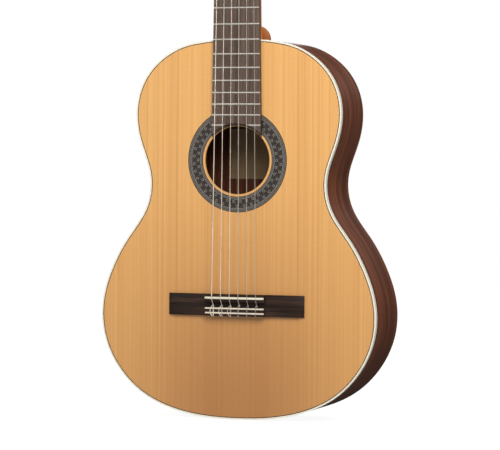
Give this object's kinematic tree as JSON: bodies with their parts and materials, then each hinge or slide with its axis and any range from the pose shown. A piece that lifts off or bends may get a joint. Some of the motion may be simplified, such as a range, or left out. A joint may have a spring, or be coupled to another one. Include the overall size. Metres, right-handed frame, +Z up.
{
  "type": "classical guitar",
  "caption": "Acoustic nylon-string guitar with a spruce top, mosaic rosette, tie bridge and geared tuning machines that turn.",
  "frame": {"origin": "lowest point of the body's tail, at mid-depth", "axes": "+Z up the neck, -Y out of the soundboard, +X to the treble side"},
  "size_m": [0.3676, 0.1133, 0.9863],
  "materials": {
    "spruce": "satin, fine straight grain",
    "brace_spruce": "raw",
    "rosette_mosaic": "satin, small inlaid tiles",
    "dark_hardwood": "satin",
    "cedar_neck": "satin",
    "ebony_board": "matte",
    "bridge_wood": "satin",
    "pale_binding": "gloss",
    "purfling_dark": "satin",
    "bone": "satin",
    "fret_metal": "polished",
    "paper": "matte",
    "wound_string": "wound metal wire",
    "nylon": "clear",
    "gold_plate": "polished",
    "screw_metal": "polished",
    "roller_bone": "satin",
    "gear_brass": "polished",
    "worm_steel": "polished",
    "button_pearl": "gloss, pearly"
  },
  "bodies": {
    "root": {"soundboard": "spruce", "rosette": "rosette_mosaic", "soundhole_patch": "brace_spruce", "soundboard_braces": "brace_spruce", "back": "dark_hardwood", "back_strip": "purfling_dark", "back_braces": "brace_spruce", "label": "paper", "side_bass": "dark_hardwood", "side_treble": "dark_hardwood", "tail_strip": "purfling_dark", "tail_block": "brace_spruce", "linings": "brace_spruce", "binding_top": "pale_binding", "purfling_top": "purfling_dark", "binding_back": "dark_hardwood", "bridge": "bridge_wood", "bridge_inlays": "bone", "saddle": "bone", "nut": "bone", "fretboard": "ebony_board", "frets": "fret_metal", "neck": "cedar_neck", "heel": "cedar_neck", "heel_cap": "dark_hardwood", "headstock": "cedar_neck", "head_veneer": "dark_hardwood", "tuner_plate_bass": "gold_plate", "tuner_plate_treble": "gold_plate", "plate_screws": "screw_metal", "string_1": "nylon", "string_2": "nylon", "string_3": "nylon", "string_4": "wound_string", "string_5": "wound_string", "string_6": "wound_string"},
    "tuner_shaft_1": {"worm_1": "worm_steel", "button_1": "button_pearl"},
    "tuner_roller_1": {"roller_1": "roller_bone", "gear_1": "gear_brass"},
    "tuner_shaft_2": {"worm_2": "worm_steel", "button_2": "button_pearl"},
    "tuner_roller_2": {"roller_2": "roller_bone", "gear_2": "gear_brass"},
    "tuner_shaft_3": {"worm_3": "worm_steel", "button_3": "button_pearl"},
    "tuner_roller_3": {"roller_3": "roller_bone", "gear_3": "gear_brass"},
    "tuner_shaft_4": {"worm_4": "worm_steel", "button_4": "button_pearl"},
    "tuner_roller_4": {"roller_4": "roller_bone", "gear_4": "gear_brass"},
    "tuner_shaft_5": {"worm_5": "worm_steel", "button_5": "button_pearl"},
    "tuner_roller_5": {"roller_5": "roller_bone", "gear_5": "gear_brass"},
    "tuner_shaft_6": {"worm_6": "worm_steel", "button_6": "button_pearl"},
    "tuner_roller_6": {"roller_6": "roller_bone", "gear_6": "gear_brass"}
  },
  "joints": [
    {"name": "button_turn_1", "type": "hinge", "parent": "root", "child": "tuner_shaft_1", "pos_m": [0.0389, -0.02919, 0.85054], "axis": [0, -0.9659, 0.2588], "continuous": true},
    {"name": "roller_turn_1", "type": "hinge", "parent": "root", "child": "tuner_roller_1", "pos_m": [0.02, -0.02688, 0.85914], "axis": [1, 0, 0], "continuous": true},
    {"name": "button_turn_2", "type": "hinge", "parent": "root", "child": "tuner_shaft_2", "pos_m": [0.0389, -0.02013, 0.88435], "axis": [0, -0.9659, 0.2588], "continuous": true},
    {"name": "roller_turn_2", "type": "hinge", "parent": "root", "child": "tuner_roller_2", "pos_m": [0.02, -0.01782, 0.89295], "axis": [1, 0, 0], "continuous": true},
    {"name": "button_turn_3", "type": "hinge", "parent": "root", "child": "tuner_shaft_3", "pos_m": [0.0389, -0.01107, 0.91816], "axis": [0, -0.9659, 0.2588], "continuous": true},
    {"name": "roller_turn_3", "type": "hinge", "parent": "root", "child": "tuner_roller_3", "pos_m": [0.02, -0.00877, 0.92675], "axis": [1, 0, 0], "continuous": true},
    {"name": "button_turn_4", "type": "hinge", "parent": "root", "child": "tuner_shaft_4", "pos_m": [-0.0389, -0.01107, 0.91816], "axis": [0, -0.9659, 0.2588], "continuous": true},
    {"name": "roller_turn_4", "type": "hinge", "parent": "root", "child": "tuner_roller_4", "pos_m": [-0.02, -0.00877, 0.92675], "axis": [1, 0, 0], "continuous": true},
    {"name": "button_turn_5", "type": "hinge", "parent": "root", "child": "tuner_shaft_5", "pos_m": [-0.0389, -0.02013, 0.88435], "axis": [0, -0.9659, 0.2588], "continuous": true},
    {"name": "roller_turn_5", "type": "hinge", "parent": "root", "child": "tuner_roller_5", "pos_m": [-0.02, -0.01782, 0.89295], "axis": [1, 0, 0], "continuous": true},
    {"name": "button_turn_6", "type": "hinge", "parent": "root", "child": "tuner_shaft_6", "pos_m": [-0.0389, -0.02919, 0.85054], "axis": [0, -0.9659, 0.2588], "continuous": true},
    {"name": "roller_turn_6", "type": "hinge", "parent": "root", "child": "tuner_roller_6", "pos_m": [-0.02, -0.02688, 0.85914], "axis": [1, 0, 0], "continuous": true}
  ],
  "couplings": [
    {"joint": "roller_turn_1", "follows": "button_turn_1", "ratio": 0.071429},
    {"joint": "roller_turn_2", "follows": "button_turn_2", "ratio": 0.071429},
    {"joint": "roller_turn_3", "follows": "button_turn_3", "ratio": 0.071429},
    {"joint": "roller_turn_4", "follows": "button_turn_4", "ratio": 0.071429},
    {"joint": "roller_turn_5", "follows": "button_turn_5", "ratio": 0.071429},
    {"joint": "roller_turn_6", "follows": "button_turn_6", "ratio": 0.071429}
  ]
}
